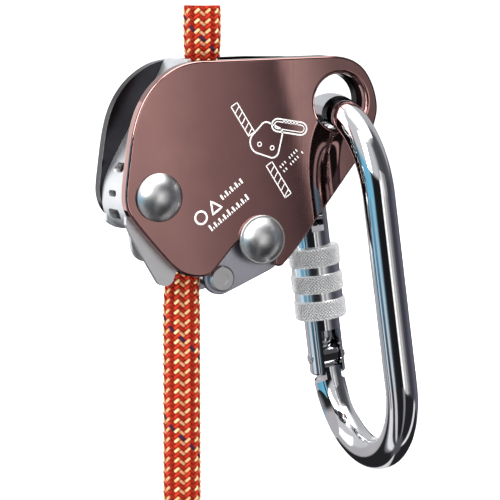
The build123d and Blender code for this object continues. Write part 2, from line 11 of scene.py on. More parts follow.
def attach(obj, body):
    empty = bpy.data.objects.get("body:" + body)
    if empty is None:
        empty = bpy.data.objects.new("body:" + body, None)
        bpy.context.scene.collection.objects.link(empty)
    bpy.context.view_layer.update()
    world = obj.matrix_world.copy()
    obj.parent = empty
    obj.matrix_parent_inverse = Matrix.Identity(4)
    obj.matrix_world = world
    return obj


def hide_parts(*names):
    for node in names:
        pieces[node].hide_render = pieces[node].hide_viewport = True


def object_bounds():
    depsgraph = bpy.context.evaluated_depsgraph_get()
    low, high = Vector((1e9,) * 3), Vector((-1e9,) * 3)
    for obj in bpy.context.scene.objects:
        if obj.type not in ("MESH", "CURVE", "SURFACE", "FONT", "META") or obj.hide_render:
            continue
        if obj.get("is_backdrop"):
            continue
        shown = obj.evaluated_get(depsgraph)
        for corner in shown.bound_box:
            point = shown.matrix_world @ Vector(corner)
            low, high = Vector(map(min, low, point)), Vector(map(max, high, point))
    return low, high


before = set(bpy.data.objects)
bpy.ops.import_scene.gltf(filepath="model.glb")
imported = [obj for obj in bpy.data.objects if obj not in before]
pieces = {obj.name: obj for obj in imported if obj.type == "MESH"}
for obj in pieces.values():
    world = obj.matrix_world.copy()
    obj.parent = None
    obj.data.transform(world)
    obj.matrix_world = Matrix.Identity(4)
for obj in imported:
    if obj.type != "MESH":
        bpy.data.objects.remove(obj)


def plain(value):
    """Nested vectors as nested lists of floats."""
    try:
        return [plain(item) for item in value]
    except TypeError:       # a single number can't be iterated
        return float(value)


cad_box = plain(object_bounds())
scene = bpy.context.scene
MM = 0.001
FULL_TURN = 2 * math.pi

# ---------------------------------------------------------------- shared places
DATUM_X, DATUM_Z = 30.0, 73.0       # the frame's origin, measured from the plate datum


def from_datum(x, z):
    """A point measured from the plate datum, in the frame."""
    return x - DATUM_X, z - DATUM_Z


FRONT_FACE_Y = -12.0
CAM_AXLE_X, CAM_AXLE_Z = from_datum(10.6, 23.7)
RING_X, RING_Z = from_datum(71.0, 48.25)
RING_Y = -5.0
RING_TILT = math.radians(7.7)
RING_FRAME = (Matrix.Translation(Vector((RING_X, RING_Y, RING_Z)) * MM)
              @ Matrix.Rotation(-RING_TILT, 4, 'Y'))


# ---------------------------------------------------------------- node helpers
class Graph:
    """Builds the nodes of one material or world. Values may be constants or sockets."""

    def __init__(self, owner, output, shader):
        owner.use_nodes = True
        self.tree = owner.node_tree
        self.tree.nodes.clear()
        output_node = self.node(output)
        self.shader = self.node(shader)
        self.plug(output_node.inputs[0], self.shader.outputs[0])

    def plug(self, socket, value):
        if isinstance(value, bpy.types.NodeSocket):
            self.tree.links.new(value, socket)
        else:
            socket.default_value = (*value, 1) if socket.type == "RGBA" else value

    def node(self, kind, inputs=None, **settings):
        node = self.tree.nodes.new(kind)
        for name, value in settings.items():
            setattr(node, name, value)
        for key, value in (inputs or {}).items():
            self.plug(node.inputs[key], value)
        return node

    def set(self, **inputs):
        """Shader inputs by name, with underscores for spaces."""
        for name, value in inputs.items():
            self.plug(self.shader.inputs[name.replace("_", " ")], value)

    def math(self, operation, *values):
        return self.node("ShaderNodeMath", dict(enumerate(values)), operation=operation).outputs[0]

    def add(self, first, second):
        return self.math("ADD", first, second)

    def times(self, first, second):
        return self.math("MULTIPLY", first, second)

    def separate(self, vector):
        return self.node("ShaderNodeSeparateXYZ", {0: vector}).outputs

    def remap(self, value, source=(0.0, 1.0), to=(0.0, 1.0), **settings):
        return self.node("ShaderNodeMapRange", {
            "Value": value, "From Min": source[0], "From Max": source[1],
            "To Min": to[0], "To Max": to[1]}, **settings).outputs[0]

    def mix(self, factor, first, second):
        node = self.node("ShaderNodeMix", data_type="RGBA")
        for index, value in ((0, factor), (6, first), (7, second)):
            self.plug(node.inputs[index], value)
        return node.outputs[2]

    def ramp(self, factor, stops):
        """Stops are (position, colour); a colour is RGB, or one float for a grey."""
        node = self.node("ShaderNodeValToRGB", {0: factor})
        elements = node.color_ramp.elements
        while len(elements) > 1:
            elements.remove(elements[-1])
        elements[0].position = stops[0][0]
        for index, (position, colour) in enumerate(stops):
            element = elements.new(position) if index else elements[0]
            rgb = (colour,) * 3 if isinstance(colour, float) else colour
            element.color = (*rgb, 1)
        return node.outputs[0]

    def coords(self, stretch=(1, 1, 1), turn=(0, 0, 0)):
        source = self.node("ShaderNodeTexCoord").outputs["Object"]
        return self.node("ShaderNodeMapping", {
            "Scale": stretch, "Rotation": turn, "Vector": source}).outputs[0]

    def noise(self, scale, detail, roughness=0.55, distortion=0.0, **placing):
        return self.node("ShaderNodeTexNoise", {
            "Scale": scale, "Detail": detail, "Roughness": roughness, "Distortion": distortion,
            "Vector": self.coords(**placing)}).outputs["Fac"]

    def bump(self, height, strength, distance):
        return self.node("ShaderNodeBump", {
            "Strength": strength, "Distance": distance, "Height": height}).outputs[0]

    def edge_wear(self, radius):
        """1 near sharp or rounded edges, 0 on flats."""
        rounded = self.node("ShaderNodeBevel", {"Radius": radius}, samples=6).outputs[0]
        normal = self.node("ShaderNodeNewGeometry").outputs["Normal"]
        match = self.node("ShaderNodeVectorMath", {0: rounded, 1: normal}, operation="DOT_PRODUCT")
        return self.remap(match.outputs["Value"], source=(0.80, 0.995), to=(1.0, 0.0))


class Surface(Graph):
    def __init__(self, name, shader="ShaderNodeBsdfPrincipled"):
        self.material = bpy.data.materials.new(name)
        super().__init__(self.material, "ShaderNodeOutputMaterial", shader)


# ---------------------------------------------------------------- materials
# colour and roughness   the clean metal
# drift                  how far the colour wanders, as a share of itself
# patches                how far the roughness wanders
# brush                  noise scale per axis: the grain runs along the smallest
# brush_height, brush_roughness   how much the grain shows in the bump and the roughness
# scratches              strength of the hairlines
# dirt, dirt_amount      colour and cover of the stains
# wear_radius, worn      width (m) and colour of rubbed edges
METALS = {
    "bronze_plate": dict(
        colour=(0.42, 0.234, 0.220), roughness=0.045, drift=0.03, patches=0.01,
        brush=(2600, 2600, 60), brush_height=0.012, brush_roughness=0.25, scratches=0.06,
        wear_radius=0.0005, worn=(0.86, 0.66, 0.60)),
    "black_plate": dict(
        colour=(0.028, 0.028, 0.032), roughness=0.16, drift=0.1, patches=0.03, scratches=0.6,
        wear_radius=0.0004, worn=(0.35, 0.35, 0.38)),
    "shell_steel": dict(
        colour=(0.88, 0.885, 0.90), roughness=0.46, drift=0.02, patches=0.05,
        brush=(40, 1600, 1600), brush_height=0.06, scratches=0.3,
        wear_radius=0.0003, worn=(0.97, 0.97, 0.97)),
    "rivet_steel": dict(
        colour=(0.70, 0.70, 0.70), roughness=0.34, drift=0.03, patches=0.05,
        brush=(1500, 200, 1500), brush_height=0.05, scratches=0.4),
    "satin_steel": dict(
        colour=(0.60, 0.60, 0.67), roughness=0.34, drift=0.03,
        brush=(1400, 1400, 90), brush_height=0.05, scratches=0.3,
        wear_radius=0.0003, worn=(0.9, 0.9, 0.92)),
    "cam_steel": dict(
        colour=(0.36, 0.36, 0.37), roughness=0.42, drift=0.08, scratches=0.3,
        dirt=(0.12, 0.1, 0.08), dirt_amount=0.4, wear_radius=0.0004, worn=(0.75, 0.75, 0.75)),
    "bush_bronze": dict(
        colour=(0.62, 0.42, 0.2), roughness=0.4, drift=0.08, scratches=0.2,
        dirt=(0.2, 0.13, 0.06), dirt_amount=0.5),
    "spring_wire": dict(colour=(0.5, 0.5, 0.52), roughness=0.3, drift=0.05, scratches=0.2),
    "plated_steel": dict(
        colour=(0.80, 0.805, 0.82), roughness=0.06, drift=0.02, patches=0.025, scratches=0.15),
    "pin_steel": dict(
        colour=(0.72, 0.72, 0.74), roughness=0.16, drift=0.03, scratches=0.3,
        wear_radius=0.0003, worn=(0.8, 0.8, 0.82)),
}
MIDDLE = (0.3, 0.7)         # the band where most noise values fall


def metal(name, colour, roughness, drift, scratches, patches=0.06, brush=None,
          brush_height=0.0, brush_roughness=1.0, dirt=None, dirt_amount=0.0,
          wear_radius=None, worn=None):
    surface = Surface(name)
    dark = tuple(part * (1 - drift * 2) for part in colour)
    light = tuple(part * (1 + drift * 2) for part in colour)
    shade = surface.ramp(surface.noise(scale=90, detail=3), [(0.3, dark), (0.7, light)])
    gloss = surface.remap(surface.noise(scale=160, detail=4), source=MIDDLE,
                          to=(roughness - patches, roughness + patches))
    if brush:
        grain = surface.noise(scale=1.0, detail=5, roughness=0.65, stretch=brush)
        gloss = surface.add(gloss, surface.remap(
            grain, source=MIDDLE, to=(-0.03 * brush_roughness, 0.05 * brush_roughness)))
        shade = surface.mix(surface.remap(grain, source=(0.35, 0.75), to=(0.0, 0.35)), shade, dark)
    else:
        grain = surface.noise(scale=900, detail=3)
    hairlines = surface.remap(
        surface.noise(scale=1.0, detail=2, roughness=0.5, distortion=0.4,
                      stretch=(60, 60, 1400), turn=(0.2, 0.5, 0.1)), source=(0.66, 0.70))
    gloss = surface.add(gloss, surface.times(hairlines, scratches * 0.2))
    if dirt:
        stains = surface.noise(scale=220, detail=5, roughness=0.7)
        cover = surface.remap(stains, source=(0.55, 0.75), to=(0.0, dirt_amount))
        shade = surface.mix(cover, shade, dirt)
    if wear_radius:
        edges = surface.edge_wear(wear_radius)
        breakup = surface.noise(scale=1400, detail=4, roughness=0.7)
        rubbed = surface.times(edges, surface.remap(breakup, source=(0.35, 0.6), to=(0.45, 1.0)))
        shade = surface.mix(rubbed, shade, worn)
    height = surface.add(surface.times(grain, 1.0), surface.times(hairlines, -0.6 * scratches))
    surface.set(Metallic=1.0, Base_Color=shade, Roughness=gloss,
                Normal=surface.bump(height, strength=brush_height if brush else 0.08,
                                    distance=0.00005))
    return surface.material


def knurl_material():
    """Bright plated knurl: clean crests, painted shade down in the cuts."""
    surface = Surface("knurled_sleeve")
    crest = surface.node("ShaderNodeAttribute", attribute_name="crest").outputs["Fac"]
    # the plain grooves carry crest 2 and are fully metallic
    metallic = surface.remap(crest, source=(1.2, 1.6), to=(0.55, 1.0))
    fine = surface.noise(scale=1800, detail=4, roughness=0.6)
    height = surface.add(crest, surface.remap(fine, source=MIDDLE, to=(-0.05, 0.05)))
    # painted shade: the base colour goes near black in the cuts of the knurl
    surface.set(
        Metallic=metallic,
        Base_Color=surface.ramp(height, [(0.14, (0.010, 0.010, 0.012)),
                                         (0.23, (0.40, 0.40, 0.41)), (0.31, 1.0)]),
        Roughness=surface.remap(height, source=(0.1, 0.6), to=(0.40, 0.20)),
        Normal=surface.bump(fine, strength=0.10, distance=0.00003))
    return surface.material


def etch_material():
    surface = Surface("laser_etch")
    grain = surface.noise(scale=5200, detail=3, roughness=0.7)
    surface.set(
        Base_Color=surface.ramp(grain, [(0.3, (0.74, 0.72, 0.70)), (0.6, (0.93, 0.92, 0.90))]),
        Roughness=surface.remap(grain, to=(0.55, 0.85)),
        Normal=surface.bump(grain, strength=0.25, distance=0.00003))
    return surface.material


def rope_material():
    """Twill braid drawn from the braid places in the sheath's UV map.

    U counts the strands that lean right as they climb, V those that lean left.
    """
    surface = Surface("rope_sheath_braid")
    math_, add, times, remap = surface.math, surface.add, surface.times, surface.remap

    def modulo(value, period):
        return math_("FLOORED_MODULO", value, period)

    braid = surface.separate(surface.node("ShaderNodeUVMap", uv_map="braid").outputs[0])
    right_place, left_place = braid[0], braid[1]
    right_strand, left_strand = math_("FLOOR", right_place), math_("FLOOR", left_place)
    phase = modulo(add(right_strand, left_strand), 4.0)
    right_top = math_("LESS_THAN", phase, 1.5)
    left_top = math_("SUBTRACT", 1.0, right_top)

    def of_top(right_value, left_value):
        """The value belonging to whichever strand lies on top."""
        return add(times(right_top, right_value), times(left_top, left_value))

    across = of_top(math_("FRACT", right_place), math_("FRACT", left_place))

    # yarn colours
    drift = surface.noise(scale=260, detail=3)
    bright_red = surface.ramp(drift, [(0.3, (0.50, 0.022, 0.007)), (0.7, (0.68, 0.050, 0.016))])
    deep_red = surface.ramp(drift, [(0.3, (0.26, 0.009, 0.003)), (0.7, (0.38, 0.018, 0.006))])
    cream = surface.ramp(surface.noise(scale=500, detail=2),
                         [(0.3, (0.90, 0.56, 0.22)), (0.7, (1.0, 0.80, 0.46))])

    # flecks on every second right-leaning strand; every second column of flecks is fuller,
    # with cream on the crossing strand as well
    flecks = times(right_top, math_("LESS_THAN", modulo(right_strand, 2.0), 0.5))
    column = math_("FLOOR", math_("DIVIDE", add(right_strand, left_strand), 4.0))
    weak = math_("COMPARE", modulo(column, 2.0), 1.0, 0.4)
    left_odd = math_("COMPARE", modulo(left_strand, 2.0), 1.0, 0.4)
    crossing = times(times(left_top, left_odd), math_("SUBTRACT", 0.42, times(weak, 0.42)))
    flecks = add(flecks, crossing)
    # cream yarns leave a red edge on each side of the strand
    off_centre = math_("ABSOLUTE", math_("SUBTRACT", across, 0.5))
    flecks = times(flecks, remap(off_centre, source=(0.38, 0.48), to=(1.0, 0.0)))
    # cream shows in the crown of each float, a float being two strands long
    along = of_top(modulo(add(right_strand, left_place), 4.0),
                   modulo(add(add(right_place, left_strand), 2.0), 4.0))
    off_crown = math_("ABSOLUTE", math_("SUBTRACT", times(along, 0.5), 0.5))
    flecks = times(flecks, remap(off_crown, source=(0.34, 0.48), to=(1.0, 0.0)))

    shade = surface.mix(right_top, deep_red, bright_red)
    fleck_colour = surface.mix(times(weak, 0.6), cream, (0.88, 0.42, 0.18))
    shade = surface.mix(flecks, shade, fleck_colour)
    # one left-leaning strand in twenty is navy
    navy = times(left_top, math_("LESS_THAN", modulo(left_strand, 20.0), 0.5))
    shade = surface.mix(navy, shade, (0.028, 0.014, 0.05))
    # painted shade: the valleys between strands are darkened
    painted_valley_shade = remap(off_centre, source=(0.30, 0.5), to=(0.0, 0.95))
    shade = surface.mix(painted_valley_shade, shade, (0.07, 0.004, 0.003))
    # seven fine, slightly wavy filament lines along each strand
    waver = remap(surface.noise(scale=700, detail=2), to=(-0.12, 0.12))
    filaments = math_("SINE", times(add(across, waver), FULL_TURN * 7.0))
    shade = surface.mix(remap(filaments, source=(-1.0, 1.0), to=(0.0, 0.16)), shade,
                        (0.25, 0.02, 0.01))
    fuzz = surface.noise(scale=5200, detail=3, roughness=0.7)
    height = add(times(filaments, 0.5), times(fuzz, 0.5))
    surface.set(
        Base_Color=shade, Roughness=0.7, Specular_IOR_Level=0.12,
        Sheen_Weight=0.06, Sheen_Roughness=0.4, Sheen_Tint=(1.0, 0.72, 0.55),
        Subsurface_Weight=0.02, Subsurface_Scale=0.0006, Subsurface_Radius=(1.0, 0.3, 0.15),
        Normal=surface.bump(height, strength=0.35, distance=0.00006))
    return surface.material


def core_material():
    surface = Surface("rope_core_strands")
    cells = surface.node("ShaderNodeTexVoronoi", {
        "Scale": 700, "Vector": surface.coords(stretch=(1, 1, 0.15))}).outputs["Distance"]
    surface.set(
        Base_Color=surface.ramp(cells, [(0.0, (0.86, 0.84, 0.79)), (0.7, (0.52, 0.49, 0.44))]),
        Roughness=0.75, Sheen_Weight=0.3,
        Normal=surface.bump(cells, strength=0.5, distance=0.0002))
    return surface.material


materials = {name: metal(name, **look) for name, look in METALS.items()}
knurl = knurl_material()
etch = etch_material()
rope = rope_material()
core = core_material()

PIECES_OF = (       # material, the CAD pieces made of it
    (materials["bronze_plate"], ["front_side_plate"]),
    (materials["black_plate"], ["rear_side_plate"]),
    (materials["shell_steel"], ["rope_shell"]),
    (materials["rivet_steel"], ["cam_axle", "arm_axle", "arm_rivets", "guide_pin"]),
    (materials["satin_steel"], ["arm_cheek_front", "arm_cheek_rear"]),
    (materials["cam_steel"], ["rope_cam", "pressure_block"]),
    (materials["bush_bronze"], ["cam_bush", "block_bush"]),
    (materials["spring_wire"], ["cam_spring", "block_spring", "gate_spring"]),
    (materials["plated_steel"], ["carabiner_body", "gate_tube"]),
    (materials["pin_steel"], ["rivet_washers", "guide_roller", "gate_hinge_pin", "gate_nose_pin",
                              "gate_plunger"]),
    (knurl, ["screw_sleeve"]),
    (rope, ["rope_sheath"]),
    (core, ["rope_core"]),
)
for material, names in PIECES_OF:
    for name in names:
        mesh = pieces[name].data
        mesh.materials.clear()
        mesh.materials.append(material)
        mesh.shade_smooth()


# ---------------------------------------------------------------- mesh helpers
def add_object(name, mesh, material):
    mesh.materials.append(material)
    thing = bpy.data.objects.new(name, mesh)
    scene.collection.objects.link(thing)
    return thing


def raw_mesh(name, points, faces):
    mesh = bpy.data.meshes.new(name)
    mesh.from_pydata([tuple(point) for point in points], [], faces)
    return mesh


def solid(name, points, faces, material, smooth=True):
    """An object with its faces turned to agree."""
    mesh = raw_mesh(name, points, faces)
    mesh.validate()
    edit = bmesh.new()
    edit.from_mesh(mesh)
    bmesh.ops.recalc_face_normals(edit, faces=edit.faces)
    edit.to_mesh(mesh)
    edit.free()
    if smooth:
        mesh.shade_smooth()
    return add_object(name, mesh, material)


def ease(part):
    """Smooth step from 0 to 1."""
    return part * part * (3 - 2 * part)


# ---------------------------------------------------------------- braided sheath
# heights and x are measured from the plate datum
BEND_TOP, BEND_BOTTOM = 66.0, -9.0      # between these the rope swings over to the left
ROPE_X_TOP, ROPE_X_BOTTOM = 30.0, 23.1
ROPE_TOP, ROPE_BOTTOM = 80.0, -70.0
SHEATH_RADIUS, BORE_RADIUS = 5.46, 4.25
STRANDS = 20                # each way
STRAND_RISE = 1.5           # height from one strand to the next
STRAND_RELIEF = 0.80
YARN_RELIEF = 0.06          # share of the strand's relief
FREE_SWELL = 0.30           # the rope is fatter clear of the device
END_TUCK, END_LENGTH = 0.35, 0.9
BORE_RINGS = 60


def rope_centre(height):
    """The centre line's x and its slope."""
    if height >= BEND_TOP:
        return ROPE_X_TOP, 0.0
    if height <= BEND_BOTTOM:
        return ROPE_X_BOTTOM, 0.0
    part = (height - BEND_BOTTOM) / (BEND_TOP - BEND_BOTTOM)
    swing = ROPE_X_TOP - ROPE_X_BOTTOM
    return (ROPE_X_BOTTOM + swing * ease(part),
            swing * (6 * part - 6 * part * part) / (BEND_TOP - BEND_BOTTOM))


def rope_ring(height, radii):
    """A ring square to the centre line, one radius for each point."""
    centre_x, slope = rope_centre(height)
    along = Vector((slope, 0, 1)).normalized()
    side, back = Vector((along.z, 0, -along.x)), Vector((0, 1, 0))
    x, z = from_datum(centre_x, height)
    ring = []
    for k, radius in enumerate(radii):
        angle = FULL_TURN * k / len(radii)
        ring.append((Vector((x, 0, z)) + side * math.cos(angle) * radius
                     + back * math.sin(angle) * radius) * MM)
    return ring


def braid_relief(right_place, left_place):
    """Surface height of the twill, each strand over two and under two."""
    right_strand, left_strand = math.floor(right_place), math.floor(left_place)
    if (right_strand + left_strand) % 4 < 2:
        across = right_place - right_strand
        along = ((right_strand + left_place) % 4) / 2
    else:
        across = left_place - left_strand
        along = ((right_place + left_strand) % 4 - 2) / 2
    side = 2 * across - 1
    crown = math.sqrt(1 - 0.92 * side * side)
    arch = math.sin(math.pi * min(max(along, 0.02), 0.98)) ** 0.6
    yarns = YARN_RELIEF * math.cos(FULL_TURN * 3 * across)      # three yarns to a strand
    share = crown * (0.35 + 0.65 * arch) + yarns - YARN_RELIEF
    return STRAND_RELIEF * share - STRAND_RELIEF


def rope_swell(height):
    clear = (-5.0 - height) / 7.0 if height < 0 else (height - 65.0) / 5.0
    return FREE_SWELL * ease(max(0.0, min(1.0, clear)))


def braided_sheath():
    """The sheath as a closed tube, with the braid as real relief outside."""
    count = STRANDS * 12
    step = STRAND_RISE / 9
    length = ROPE_TOP - ROPE_BOTTOM
    rings = int(length / step)

    points = []
    for r in range(rings + 1):
        drop = length * r / rings
        height = ROPE_TOP - drop
        to_end = min(1.0, min(drop, length - drop) / END_LENGTH)
        smooth_radius = SHEATH_RADIUS + rope_swell(height) - (1 - to_end) * END_TUCK
        climb = height / STRAND_RISE
        radii = []
        for k in range(count):
            around = STRANDS * (FULL_TURN * k / count) / FULL_TURN
            radii.append(smooth_radius + braid_relief(around - climb, around + climb))
        points += rope_ring(height, radii)
    bore = len(points)
    for r in range(BORE_RINGS + 1):
        points += rope_ring(ROPE_TOP - length * r / BORE_RINGS, [BORE_RADIUS] * count)

    def braid_place(r, k):
        climb = (ROPE_TOP - length * r / rings) / STRAND_RISE
        return STRANDS * k / count - climb, STRANDS * k / count + climb

    faces, corners = [], []
    for r in range(rings):
        upper, lower = r * count, (r + 1) * count
        for k in range(count):
            after = (k + 1) % count
            faces.append((upper + k, lower + k, lower + after, upper + after))
            corners += [braid_place(r, k), braid_place(r + 1, k),
                        braid_place(r + 1, k + 1), braid_place(r, k + 1)]

    def plain_band(first, second, uv_of):
        for k in range(count):
            after = (k + 1) % count
            faces.append((first + k, first + after, second + after, second + k))
            corners.extend([uv_of(k)] * 4)

    for r in range(BORE_RINGS):
        plain_band(bore + r * count, bore + (r + 1) * count, lambda k: (0.5, 0.5))
    plain_band(0, bore, lambda k: (k, 0.5))                                         # top end
    plain_band(bore + BORE_RINGS * count, rings * count, lambda k: (k, 0.5))        # bottom end

    mesh = raw_mesh("braided_sheath", points, faces)
    layer = mesh.uv_layers.new(name="braid")
    layer.data.foreach_set("uv", [value for corner in corners for value in corner])
    mesh.shade_smooth()
    return add_object("braided_sheath", mesh, rope)


sheath = braided_sheath()
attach(sheath, "frame")
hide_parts("rope_sheath")
sheath.visible_glossy = False

# ---------------------------------------------------------------- knurled screw sleeve
# in the ring's frame, the sleeve's axis along z
SLEEVE_Y, SLEEVE_TOP, SLEEVE_LENGTH = 25, -44.8, 22.7
SLEEVE_RADIUS, SLEEVE_BORE = 8.2, 5.68
GROOVE_CENTRES = (7.2, 15.5)            # down from the top
GROOVE_WIDTH, GROOVE_DEPTH = 2.6, 0.65
KNURLS = 48
KNURL_PITCH = FULL_TURN * SLEEVE_RADIUS / KNURLS
KNURL_DEPTH = 0.42
KNURL_FLATTENING = 1.35                 # steepens the pyramids and cuts their tips off
BAND_CHAMFER, BAND_SLOPE = 0.45, 0.9    # where a knurled band runs out
END_CHAMFER, END_CHAMFER_LENGTH = 0.40, 0.35


def knurl_rise(angle, drop):
    """Height of the knurl's pyramids, 0 in the sharp valleys and 1 on the crests."""
    around, climb = KNURLS * angle / FULL_TURN, drop / KNURL_PITCH
    one_way = abs(((around + climb) % 1) - 0.5) * 2
    other_way = abs(((around - climb) % 1) - 0.5) * 2
    return min(1.0, (1 - max(one_way, other_way)) * KNURL_FLATTENING)


def knurled_sleeve():
    count = KNURLS * 8
    steps = int(SLEEVE_LENGTH / (0.12))
    points, crests = [], []

    def add_point(radius, angle, drop, crest):
        point = Vector((radius * math.cos(angle), SLEEVE_Y + radius * math.sin(angle),
                        SLEEVE_TOP - drop))
        points.append(RING_FRAME @ (point * MM))
        crests.append(crest)

    for row in range(steps + 1):
        drop = SLEEVE_LENGTH * row / steps
        end_gap = min(drop, SLEEVE_LENGTH - drop)
        groove_gaps = [abs(drop - centre) - GROOVE_WIDTH / 2 for centre in GROOVE_CENTRES]
        band_gap = min(end_gap, *groove_gaps)
        for k in range(count):
            angle = FULL_TURN * k / count
            if min(groove_gaps) <= 0:
                radius, crest = SLEEVE_RADIUS - GROOVE_DEPTH, 2.0
            else:
                crest = knurl_rise(angle, drop)
                radius = min(
                    SLEEVE_RADIUS - KNURL_DEPTH + KNURL_DEPTH * crest,
                    SLEEVE_RADIUS - BAND_CHAMFER + min(BAND_CHAMFER, band_gap * BAND_SLOPE))
            if end_gap < END_CHAMFER_LENGTH:
                radius = min(radius, SLEEVE_RADIUS - END_CHAMFER + end_gap)
            add_point(radius, angle, drop, crest)
    for drop in (SLEEVE_LENGTH, 0.0):           # the bore, from the bottom back to the top
        for k in range(count):
            add_point(SLEEVE_BORE, FULL_TURN * k / count, drop, 1.0)

    faces = []
    rings = steps + 3
    for ring in range(rings):
        first, second = ring * count, (ring + 1) % rings * count
        for k in range(count):
            after = (k + 1) % count
            faces.append((first + k, second + k, second + after, first + after))
    thing = solid("knurled_sleeve", points, faces, knurl)
    thing.data.set_sharp_from_angle(angle=math.radians(38))
    thing.data.attributes.new("crest", "FLOAT", "POINT").data.foreach_set("value", crests)
    return thing


sleeve = knurled_sleeve()
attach(sleeve, "sleeve")
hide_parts("screw_sleeve")

# ---------------------------------------------------------------- edges of the CAD pieces
EDGE_ROUNDS = (("rear_side_plate", 0.5), ("rope_shell", 0.28), ("pressure_block", 0.25),
               ("gate_tube", 0.18), ("rivet_washers", 0.15))
FLAT_FACED = ("front_side_plate", "rear_side_plate", "rope_shell", "arm_cheek_front",
              "arm_cheek_rear", "pressure_block")

for name, width in EDGE_ROUNDS:
    rounding = pieces[name].modifiers.new("edge_round", "BEVEL")
    rounding.width = width * MM
    rounding.segments = 3
    rounding.limit_method = "ANGLE"
    rounding.angle_limit = math.radians(40)
    rounding.harden_normals = False
    rounding.use_clamp_overlap = True
# flats stay flat and only rounded edges bend the reflections
for name in FLAT_FACED:
    flattening = pieces[name].modifiers.new("flat_faces", "WEIGHTED_NORMAL")
    flattening.mode = "FACE_AREA"
    flattening.weight = 100
    flattening.keep_sharp = True

# ---------------------------------------------------------------- etched marks, front plate
# points are (x, z) from the plate datum
ETCH_SUNK, ETCH_PROUD = 0.01, 0.02


def ribbon(points, width, closed=False):
    """The left and right edges of a flat line of this width."""
    points = [Vector(point) for point in points]
    last = len(points) - 1
    left, right = [], []
    for i, point in enumerate(points):
        if closed:
            before, after = points[i - 1], points[(i + 1) % len(points)]
        else:
            before, after = points[max(i - 1, 0)], points[min(i + 1, last)]
        along = (after - before).normalized()
        side = Vector((-along.y, along.x)) * width / 2
        left.append(point + side)
        right.append(point - side)
    return left, right, closed


def etch_piece(name, ribbons):
    points, faces = [], []
    for left, right, closed in ribbons:
        count = len(left)
        left_in = len(points)
        right_in, left_out, right_out = (left_in + count * k for k in (1, 2, 3))
        for y in (FRONT_FACE_Y + ETCH_SUNK, FRONT_FACE_Y - ETCH_PROUD):
            for point in left + right:
                x, z = from_datum(*point)
                points.append(Vector((x, y, z)) * MM)
        for i in range(count if closed else count - 1):
            j = (i + 1) % count
            faces += [(left_out + i, left_out + j, right_out + j, right_out + i),
                      (left_in + i, right_in + i, right_in + j, left_in + j),
                      (left_in + i, left_in + j, left_out + j, left_out + i),
                      (right_in + i, right_out + i, right_out + j, right_in + j)]
        if not closed:
            end = count - 1
            faces += [(left_in, left_out, right_out, right_in),
                      (left_in + end, right_in + end, right_out + end, left_out + end)]
    thing = solid(name, points, faces, etch, smooth=False)
    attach(thing, "front_plate")


def local(origin, right, up):
    """Turns distances along two directions into plate points."""
    return lambda x, z=0.0: Vector(origin) + Vector(right) * x + Vector(up) * z


def arc(centre, radius, start, end, steps):
    angles = [math.radians(start + (end - start) * i / steps) for i in range(steps + 1)]
    return [(centre[0] + radius * math.cos(angle), centre[1] + radius * math.sin(angle))
            for angle in angles]


def polygon(corners):
    """A closed outline with each side cut in five."""
    return [corner.lerp(corners[(i + 1) % len(corners)], k / 5)
            for i, corner in enumerate(corners) for k in range(5)]


def barred_strip(origin, length):
    """A length of rope, drawn as an outline with five slanting bars."""
    width, bars = 2.3, 5
    at = local(origin, right=(0.545, -0.838), up=(0.838, 0.545))
    half = width / 2
    outline = polygon([at(0, half), at(length, half), at(length, -half), at(0, -half)])
    ribbons = [ribbon(outline, 0.32, closed=True)]
    for k in range(bars):
        along = length * (k + 0.7) / (bars + 0.4)
        ends = [at(along, width * 0.42), at(along + 1.0, -width * 0.42)]
        ribbons.append(ribbon(ends, 0.28))
    return ribbons


def ticked_oval():
    """A double-lined slim oval pointing right, with ticks across its upper side."""
    left_end, right_end = Vector((49.4, 44.2)), Vector((57.2, 42.9))
    right, up = Vector((0.985, -0.17)), Vector((0.17, 0.985))
    ribbons = []
    for radius, width in ((1.9, 0.45), (1.05, 0.28)):
        outline = []
        for centre, start in ((right_end, -90), (left_end, 90)):
            at = local(centre, right, up)
            for i in range(11):
                angle = math.radians(start + 18 * i)
                outline.append(at(math.cos(angle) * radius, math.sin(angle) * radius))
        ribbons.append(ribbon(outline, width, closed=True))
    for k in range(5):
        middle = left_end.lerp(right_end, 0.25 + 0.14 * k) + up * 1.45
        ribbons.append(ribbon([middle - up * 0.5, middle + up * 0.45], 0.5))
    return ribbons


LOZENGE = (     # corner centre, radius, start and end angle
    ((43.9, 39.3), 3.6, 150, 262), ((47.6, 36.6), 2.2, 262, 350),
    ((49.0, 41.6), 2.0, -10, 60), ((45.6, 43.2), 2.0, 60, 150))


def use_diagram():
    """Rope strips above and below a rounded lozenge with two rings, and an oval beside it."""
    ribbons = barred_strip((35.0, 50.6), length=10.6) + barred_strip((46.6, 32.6), length=11.6)
    outline = [point for corner in LOZENGE for point in arc(*corner, steps=10)]
    ribbons.append(ribbon(outline, 0.45, closed=True))
    for centre in ((43.4, 38.6), (47.6, 37.4)):
        ring = arc(centre, radius=0.62, start=0, end=360, steps=18)[:-1]
        ribbons.append(ribbon(ring, 0.3, closed=True))
    return ribbons + ticked_oval()


